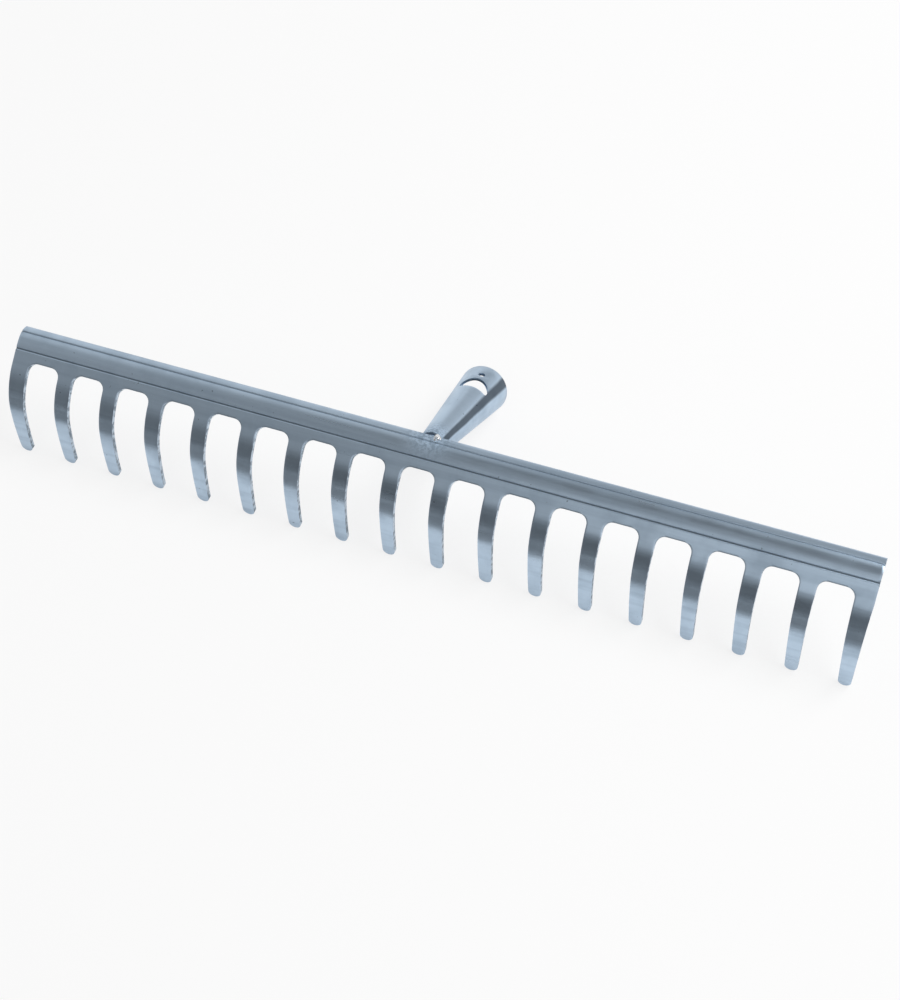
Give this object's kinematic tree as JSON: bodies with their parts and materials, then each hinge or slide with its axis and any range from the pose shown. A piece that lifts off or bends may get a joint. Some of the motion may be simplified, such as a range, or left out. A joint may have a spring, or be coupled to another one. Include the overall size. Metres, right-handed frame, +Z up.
{
  "type": "garden rake head",
  "caption": "Pressed steel garden rake head with a toothed comb, a stiffening bead along the bar and a welded tapered handle socket.",
  "frame": {"origin": "on the floor, under the middle of the head's outline, as it rests on its tooth tips and on the rim of the socket", "axes": "+X along the bar, +Y from the teeth towards the mouth of the handle socket, +Z up"},
  "size_m": [0.4524, 0.1108, 0.059],
  "materials": {
    "zinc_sheet": "bright zinc plating, satin with fine rolling lines",
    "zinc_tube": "bright zinc plating, satin",
    "weld_metal": "zinc plated weld bead, rough"
  },
  "bodies": {
    "root": {"rake_comb": "zinc_sheet", "handle_socket": "zinc_tube", "socket_weld": "weld_metal"}
  },
  "joints": []
}
